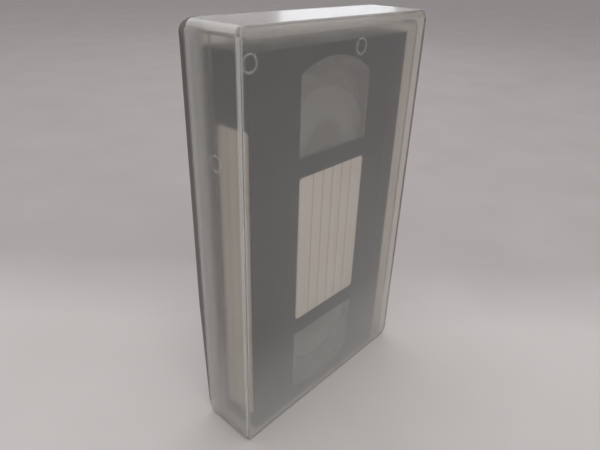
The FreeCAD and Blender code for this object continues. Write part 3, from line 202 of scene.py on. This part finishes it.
def natural_polypropylene(name, across, marks):
    """Injection moulded natural polypropylene: milky, so what lies close behind shows
    and what lies deep goes soft. It whitens at its ejector marks. Painted highlights and
    painted light whiten its edges and the spine's hinges, a painted reflection of the floor
    whitens its lower end, and the lip behind the hinge is painted darker as shade. Faint
    upright rubs, drawn 2.5 mm apart so that they show, break up its gloss."""
    finish = bpy.context.scene.cassette_finish
    material, tree, shader = new_material(name, IOR=1.49)
    coordinates = add_node(tree, "TexCoord")
    place = coordinates["Object"]
    axes = add_node(tree, "SeparateXYZ", inputs={"Vector": place})
    # Painted reflection of the floor: the panel is whiter towards its lower end
    painted_floor_reflection = add_node(tree, "MapRange", inputs={
        "Value": axes["Z"], "From Min": 60 * MM, "From Max": 4 * MM, "To Max": 0.25})[0]
    # Whitening from the ejector marks, and from painted light: hinge bands, edge highlights and
    # the floor reflection
    milky = hinge_painted_light(tree, axes)
    for white in (edge_painted_highlight(tree, coordinates["Normal"]), painted_floor_reflection,
                  *(mark_whitening(tree, place, across, mark) for mark in marks)):
        milky = add_node(tree, "Math", {"operation": "MAXIMUM"}, {0: milky, 1: white})[0]
    # Painted shade: the lip behind the spine's rear edge is coloured darker and lets less light
    # through
    spine_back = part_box("spine_panel")[1].y
    lip = add_node(tree, "MapRange", inputs={
        "Value": axes["Y"], "From Min": spine_back, "From Max": spine_back + 0.4 * MM})[0]
    clouds = add_node(tree, "TexNoise", inputs={
        "Vector": place, "Scale": 1 / (26 * MM), "Detail": 3})["Fac"]
    base = two_tones(tree, clouds, (linear("#fbf9f5"), linear("#f8f5ef")))
    # Whiter at the ejector marks and where light is painted; darker where shade is painted on
    # the lip
    for share, tone in ((milky, "#ddd6cc"), (lip, "#6e6961")):
        base = add_node(tree, "Mix", {"data_type": "RGBA"},
                        {0: share, 6: base, 7: linear(tone)})[2]
    tree.links.new(base, shader.inputs["Base Color"])
    milky = add_node(tree, "Math", {"operation": "MAXIMUM"}, {0: milky, 1: lip})[0]
    clear = add_node(tree, "MapRange", inputs={
        "Value": milky, "To Min": finish.case_clarity, "To Max": finish.case_clarity * 0.45})[0]
    tree.links.new(clear, shader.inputs["Transmission Weight"])
    upright = add_node(tree, "Mapping", inputs={"Vector": place, "Scale": (1, 1, 0.04)})[0]
    rubs = add_node(tree, "TexNoise", inputs={
        "Vector": upright, "Scale": 1 / (2.5 * MM), "Detail": 4, "Roughness": 0.6})["Fac"]
    rough = add_node(tree, "MapRange", inputs={
        "Value": rubs, "From Min": PATTERN_LOW, "From Max": PATTERN_HIGH,
        "To Min": finish.case_haze - 0.03, "To Max": finish.case_haze + 0.05})[0]
    tree.links.new(rough, shader.inputs["Roughness"])
    warp = add_node(tree, "TexNoise", inputs={
        "Vector": place, "Scale": 1 / (22 * MM), "Detail": 1})["Fac"]
    warp = add_node(tree, "Bump", inputs={
        "Height": warp, "Distance": 0.04 * MM, "Strength": 0.4})[0]
    tree.links.new(warp, shader.inputs["Normal"])
    return material


def spark_grained_abs():
    """Black ABS from a spark eroded mould: a fine, uniform grain, drawn 0.7 mm wide so that
    it shows, and a soft low gloss."""
    dark = bpy.context.scene.cassette_finish.shell_colour
    material, tree, shader = new_material("spark_grained_abs", IOR=1.52)
    place = add_node(tree, "TexCoord")["Object"]
    tone = add_node(tree, "TexNoise", inputs={
        "Vector": place, "Scale": 1 / (9 * MM), "Detail": 4})["Fac"]
    colour = two_tones(tree, tone, ((*dark, 1), (*[c * 1.35 for c in dark], 1)))
    tree.links.new(colour, shader.inputs["Base Color"])
    grain = add_node(tree, "TexNoise", inputs={
        "Vector": place, "Scale": 1 / (0.7 * MM), "Detail": 2})["Fac"]
    surface_grain(tree, shader, grain, (0.38, 0.52), 0.02 * MM, 0.5)
    return material


def clear_styrene(name, tint, roughness, clarity):
    """Clear polystyrene: crisp and glossy, with a little haze from the mould."""
    material, tree, shader = new_material(
        name, IOR=1.59, Base_Color=linear(tint), Transmission_Weight=clarity)
    place = add_node(tree, "TexCoord")["Object"]
    haze = add_node(tree, "TexNoise", inputs={
        "Vector": place, "Scale": 1 / (7 * MM), "Detail": 4})["Fac"]
    surface_grain(tree, shader, haze, (roughness, roughness + 0.06), 0.02 * MM, 0.4)
    return material


def label_paper(name, across, lines, tones):
    """Coated label paper: a fine fibre, drawn 0.8 mm wide so that it shows, and plain
    ruled writing lines at the given places."""
    material, tree, shader = new_material(name, IOR=1.5)
    place = add_node(tree, "TexCoord")["Object"]
    fibre = add_node(tree, "TexNoise", inputs={
        "Vector": place, "Scale": 1 / (0.8 * MM), "Detail": 5})["Fac"]
    paper = two_tones(tree, fibre, (linear(tones[0]), linear(tones[1])))
    axes = add_node(tree, "SeparateXYZ", inputs={"Vector": place})
    ruled = 0.0
    for line in lines:
        hit = add_node(tree, "Math", {"operation": "COMPARE"},
                       {0: axes[across], 1: line, 2: 0.16 * MM})[0]
        ruled = add_node(tree, "Math", {"operation": "MAXIMUM"}, {0: ruled, 1: hit})[0]
    inked = add_node(tree, "Mix", {"data_type": "RGBA"},
                     {0: ruled, 6: paper, 7: linear("#8d8b88")})[2]
    tree.links.new(inked, shader.inputs["Base Color"])
    surface_grain(tree, shader, fibre, (0.45, 0.6), 0.01 * MM, 0.5)
    return material


def wound_tape(name, centre, bright_radius):
    """Edge of wound magnetic tape: dark turns about 0.02 mm apart, drawn as bands of
    0.4 to 2 mm so that they show, with a satin gloss. The pale grey colour is a painted
    reflection that shifts from band to band: bright out to the radius given, dimmer beyond it."""
    material, tree, shader = new_material(name, IOR=1.6)
    place = add_node(tree, "TexCoord")["Object"]
    about = add_node(tree, "Mapping", inputs={
        "Vector": place, "Location": (-centre.x, 0, -centre.z), "Scale": (1, 0, 1)})[0]
    radius = add_node(tree, "VectorMath", {"operation": "LENGTH"}, {0: about})["Value"]
    bands = add_node(tree, "TexNoise", {"noise_dimensions": "1D"}, {
        "W": radius, "Scale": 1 / (1.6 * MM), "Detail": 3, "Roughness": 0.6})["Fac"]
    # Painted reflection: the dark tape's edge is coloured pale grey, brighter inside the given
    # radius and dimmer outside it
    bright_painted_reflection = two_tones(tree, bands, (linear("#dcdfe2"), linear("#e6e9eb")))
    dim_painted_reflection = two_tones(tree, bands, (linear("#77787b"), linear("#838487")))
    beyond = add_node(tree, "MapRange", inputs={
        "Value": radius, "From Min": bright_radius - 0.4 * MM, "From Max": bright_radius + 0.4 * MM})[0]
    turns = add_node(tree, "Mix", {"data_type": "RGBA"}, {0: beyond, 6: bright_painted_reflection, 7: dim_painted_reflection})[2]
    tree.links.new(turns, shader.inputs["Base Color"])
    surface_grain(tree, shader, bands, (0.3, 0.45), 0.03 * MM, 0.6)
    return material


def grained(name, tones, rough, grain, metallic=0.0, depth=0.01):
    """Two near tones and a grain that breaks up the gloss. The grain's size is in mm,
    and stands for a finer one that would not show."""
    material, tree, shader = new_material(name, Metallic=metallic)
    place = add_node(tree, "TexCoord")["Object"]
    pattern = add_node(tree, "TexNoise", inputs={
        "Vector": place, "Scale": 1 / (grain * MM), "Detail": 4})["Fac"]
    colour = two_tones(tree, pattern, (linear(tones[0]), linear(tones[1])))
    tree.links.new(colour, shader.inputs["Base Color"])
    surface_grain(tree, shader, pattern, (rough - 0.06, rough + 0.06), depth * MM, 0.5)
    return material


# Pieces


def dress(names, material):
    """Gives CAD pieces a material of their own."""
    for name in names:
        slots = frame["nodes"][name].data.materials
        slots.clear()
        slots.append(material)


def edged_copy(context, name, width, material):
    """A copy of a CAD piece with its sharp edges rounded as a mould leaves them."""
    source = frame["nodes"][name]
    bpy.ops.object.select_all(action="DESELECT")
    source.select_set(True)
    context.view_layer.objects.active = source
    bpy.ops.object.duplicate()
    piece = context.object
    piece.name = f"{name}_moulded"
    bpy.ops.object.mode_set(mode="EDIT")
    bpy.ops.mesh.select_all(action="SELECT")
    bpy.ops.mesh.remove_doubles(threshold=0.002 * MM)
    bpy.ops.mesh.dissolve_limited(angle_limit=math.radians(0.5))
    bpy.ops.mesh.normals_make_consistent(inside=False)
    bpy.ops.object.mode_set(mode="OBJECT")
    bpy.ops.object.modifier_add(type="BEVEL")
    edge = piece.modifiers[-1]
    edge.limit_method = "ANGLE"
    edge.angle_limit = math.radians(40)
    edge.width = width
    edge.segments = 2
    bpy.ops.object.modifier_apply(modifier=edge.name)
    bpy.ops.object.shade_smooth_by_angle(angle=math.radians(60))
    bpy.ops.object.modifier_add(type="WEIGHTED_NORMAL")
    flat = piece.modifiers[-1]
    flat.keep_sharp = True
    bpy.ops.object.modifier_apply(modifier=flat.name)
    piece.data.materials.clear()
    piece.data.materials.append(material)
    piece.pop("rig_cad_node", None)
    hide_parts(name)


class CassetteFinish(bpy.types.PropertyGroup):
    """Finish of the case and the cassette."""

    case_clarity: FloatProperty(
        name="Case Clarity", description="Share of light that passes through the walls",
        default=0.95, min=0.0, max=1.0, subtype="FACTOR")
    case_haze: FloatProperty(
        name="Case Haze", description="Roughness of the case's moulded surface",
        default=0.2, min=0.05, max=1.0, subtype="FACTOR")
    case_edge: FloatProperty(
        name="Case Edge", description="Rounding along the case's sharp edges",
        default=0.3 * MM, min=0.0, max=0.5 * MM, unit="LENGTH")
    shell_edge: FloatProperty(
        name="Shell Edge", description="Rounding along the shells' sharp edges",
        default=0.2 * MM, min=0.0, max=0.4 * MM, unit="LENGTH")
    shell_colour: FloatVectorProperty(
        name="Shell Colour", description="Colour of the cassette's shells",
        default=linear("#13161c")[:3], min=0.0, max=1.0, subtype="COLOR")


class CASSETTE_OT_stage(bpy.types.Operator):
    """Sets up the floor, the surrounding light, the lamps and the camera"""

    bl_idname = "cassette.stage"
    bl_label = "Studio Stage"

    def execute(self, context):
        scene = context.scene
        scene.view_settings.view_transform = "Standard"
        # Enough turns for light to get through the case's nested clear walls
        scene.cycles.max_bounces = 32
        scene.cycles.transmission_bounces = 32
        self.add_floor(context)
        scene.world = self.new_world()
        for name, where, size, power in LAMPS:
            self.add_lamp(context, name, where, size, power)
        self.add_camera(context)
        return {"FINISHED"}

    def add_floor(self, context):
        """One plane of matt, faintly mottled paint, with painted shade that makes it a little
        darker behind the object.
        """
        bpy.ops.object.select_all(action="DESELECT")
        bpy.ops.mesh.primitive_plane_add(size=FLOOR_SIZE)
        floor = context.object
        floor.name = "studio_floor"
        material, tree, shader = new_material("painted_floor", Roughness=0.75)
        place = add_node(tree, "TexCoord")["Object"]
        mottling = add_node(tree, "TexNoise", inputs={
            "Vector": place, "Scale": 1 / (90 * MM), "Detail": 4})["Fac"]
        near = two_tones(tree, mottling, (linear("#b4aca4"), linear("#b9b1a9")))
        painted_shade_tone = two_tones(tree, mottling, (linear("#9f958f"), linear("#a49a94")))
        # Painted shade: beyond a line behind the object the floor is darker
        behind = add_node(tree, "VectorMath", {"operation": "DOT_PRODUCT"},
                          {0: place, 1: FLOOR_AWAY})["Value"]
        behind = add_node(tree, "MapRange", inputs={
            "Value": behind, "From Min": 40 * MM, "From Max": 120 * MM})[0]
        paint = add_node(tree, "Mix", {"data_type": "RGBA"}, {0: behind, 6: near, 7: painted_shade_tone})[2]
        tree.links.new(paint, shader.inputs["Base Color"])
        floor.data.materials.append(material)

    def new_world(self):
        """Even light all round, with a pale backdrop where the surroundings are seen."""
        world = bpy.data.worlds.new("studio_world")
        world.use_nodes = True
        tree = world.node_tree
        tree.nodes.clear()
        path = add_node(tree, "LightPath")
        seen = path["Is Camera Ray"]
        for ray in ("Is Transmission Ray", "Is Glossy Ray"):
            seen = add_node(tree, "Math", {"operation": "MAXIMUM"}, {0: seen, 1: path[ray]})[0]
        light = add_node(tree, "Background",
                         inputs={"Color": linear("#e9eff9"), "Strength": 0.82})[0]
        backdrop = add_node(tree, "Background", inputs={"Color": linear("#bdb9b8")})[0]
        surface = add_node(tree, "MixShader", inputs={0: seen, 1: light, 2: backdrop})[0]
        add_node(tree, "OutputWorld", inputs={"Surface": surface})
        return world

    def add_lamp(self, context, name, where, size, power):
        bpy.ops.object.light_add(type="AREA", location=where)
        lamp = context.object
        lamp.name = name
        lamp.data.size = size
        lamp.data.energy = power
        lamp.data.color = linear("#f4f8ff")[:3]
        aim = Vector(LAMP_AIM) - Vector(where)
        lamp.rotation_euler = aim.to_track_quat("-Z", "Y").to_euler()

    def add_camera(self, context):
        bpy.ops.object.camera_add()
        camera = context.object
        camera.name = "photo_camera"
        forward = Vector(CAMERA_FORWARD).normalized()
        right = Vector(CAMERA_RIGHT).normalized()
        up = right.cross(forward).normalized()
        pose = Matrix((right, up, -forward)).transposed().to_4x4()
        pose.translation = Vector(CAMERA_PLACE)
        camera.matrix_world = pose
        camera.data.sensor_width = 36.0
        camera.data.lens = CAMERA_LENS_MM
        camera.data.clip_start = 0.01
        context.scene.camera = camera


class CASSETTE_OT_case(bpy.types.Operator):
    """Gives the case's three panels their moulded polypropylene"""

    bl_idname = "cassette.case"
    bl_label = "Library Case"

    def execute(self, context):
        width = context.scene.cassette_finish.case_edge
        for name, across, marks in CASE_PANELS:
            material = natural_polypropylene(f"{name}_polypropylene", across, marks)
            dress((name,), material)
            edged_copy(context, name, width, material)
        return {"FINISHED"}


class CASSETTE_OT_shells(bpy.types.Operator):
    """Dresses the shells, the door, the latch, the windows and the labels"""

    bl_idname = "cassette.shells"
    bl_label = "Cassette Shells"

    def execute(self, context):
        width = context.scene.cassette_finish.shell_edge
        material = spark_grained_abs()
        dress(("upper_shell", "lower_shell", "tape_door", "door_latch"), material)
        for name in ("upper_shell", "lower_shell", "tape_door"):
            edged_copy(context, name, width, material)
        dress(("supply_window", "take_up_window"),
              clear_styrene("clear_window_styrene", "#f6f7f8", 0.04, 0.93))
        low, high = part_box("face_label")
        lines = [low.x + (high.x - low.x) * share for share in FACE_LINES]
        dress(("face_label",),
              label_paper("face_label_paper", "X", lines, ("#fdf6f1", "#f6efea")))
        # The spine label's paper is painted darker than the face label's, as shade: the spine
        # gets less light
        low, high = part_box("spine_label")
        lines = [low.y + (high.y - low.y) * share for share in SPINE_LINES]
        dress(("spine_label",),
              label_paper("shaded_spine_label_paper", "Y", lines, ("#e3dad1", "#dbd2c9")))
        return {"FINISHED"}


class CASSETTE_OT_reels(bpy.types.Operator):
    """Dresses the reels, their flanges and clips, and the tape"""

    bl_idname = "cassette.reels"
    bl_label = "Reels and Tape"

    def execute(self, context):
        # Moulded polystyrene: off-white, smooth and softly glossy
        white = grained("moulded_reel_styrene", ("#c9c8c4", "#d3d2cd"), 0.35, 4)
        clear = clear_styrene("clear_flange_styrene", "#fafafa", 0.05, 1.0)
        for reel, bright_radius in PAINTED_REFLECTION_RADIUS.items():
            dress((f"{reel}_reel", f"{reel}_leader_clip"), white)
            dress((f"{reel}_top_flange",), clear)
            low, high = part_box(f"{reel}_tape_pack")
            dress((f"{reel}_tape_pack",),
                  wound_tape(f"{reel}_wound_tape", (low + high) / 2, bright_radius))
        dress(("guide_roller",), white)
        # Smooth dark oxide with a satin gloss
        dress(("tape_run",), grained("magnetic_tape_oxide", ("#2b2623", "#332e2a"), 0.28, 6))
        return {"FINISHED"}


class CASSETTE_OT_mechanism(bpy.types.Operator):
    """Dresses the brakes, guides, springs, felt and screws"""

    bl_idname = "cassette.mechanism"
    bl_label = "Brakes, Guides and Springs"

    def execute(self, context):
        # Moulded acetal: ivory and waxy
        dress(("supply_brake", "take_up_brake", "brake_release_lever"),
              grained("moulded_acetal", ("#dcdad2", "#e6e4dc"), 0.35, 3))
        # Rolled spring steel: grey with a drawn, slightly dull shine
        dress(("door_spring", "brake_spring", "pressure_spring", "slack_leaf"),
              grained("spring_steel", ("#8f8f8e", "#a9a9a8"), 0.3, 1, metallic=1.0))
        # Ground and polished steel: bright, with few marks
        dress(("roller_pin", "guide_post", "shell_screws"),
              grained("polished_steel", ("#b4b4b3", "#c6c6c5"), 0.16, 2, metallic=1.0))
        # Pressed wool felt: matt and fuzzy
        dress(("slack_felt",),
              grained("wool_felt", ("#8a857a", "#a29c90"), 0.9, 0.4, depth=0.1))
        return {"FINISHED"}


class CASSETTE_PT_panel(bpy.types.Panel):
    """Lists the steps that dress the cassette"""

    bl_label = "Video Cassette"
    bl_idname = "CASSETTE_PT_panel"
    bl_space_type = "VIEW_3D"
    bl_region_type = "UI"
    bl_category = "Cassette"

    def draw(self, context):
        for operator in OPERATORS:
            self.layout.operator(operator.bl_idname)


OPERATORS = (CASSETTE_OT_stage, CASSETTE_OT_case, CASSETTE_OT_shells, CASSETTE_OT_reels,
             CASSETTE_OT_mechanism)
CLASSES = (CassetteFinish, *OPERATORS, CASSETTE_PT_panel)


def register():
    for cls in CLASSES:
        bpy.utils.register_class(cls)
    bpy.types.Scene.cassette_finish = PointerProperty(type=CassetteFinish)


def unregister():
    del bpy.types.Scene.cassette_finish
    for cls in reversed(CLASSES):
        bpy.utils.unregister_class(cls)


def main():
    register()
    bpy.ops.cassette.stage()
    bpy.ops.cassette.case()
    bpy.ops.cassette.shells()
    bpy.ops.cassette.reels()
    bpy.ops.cassette.mechanism()


if __name__ == "__main__":
    main()
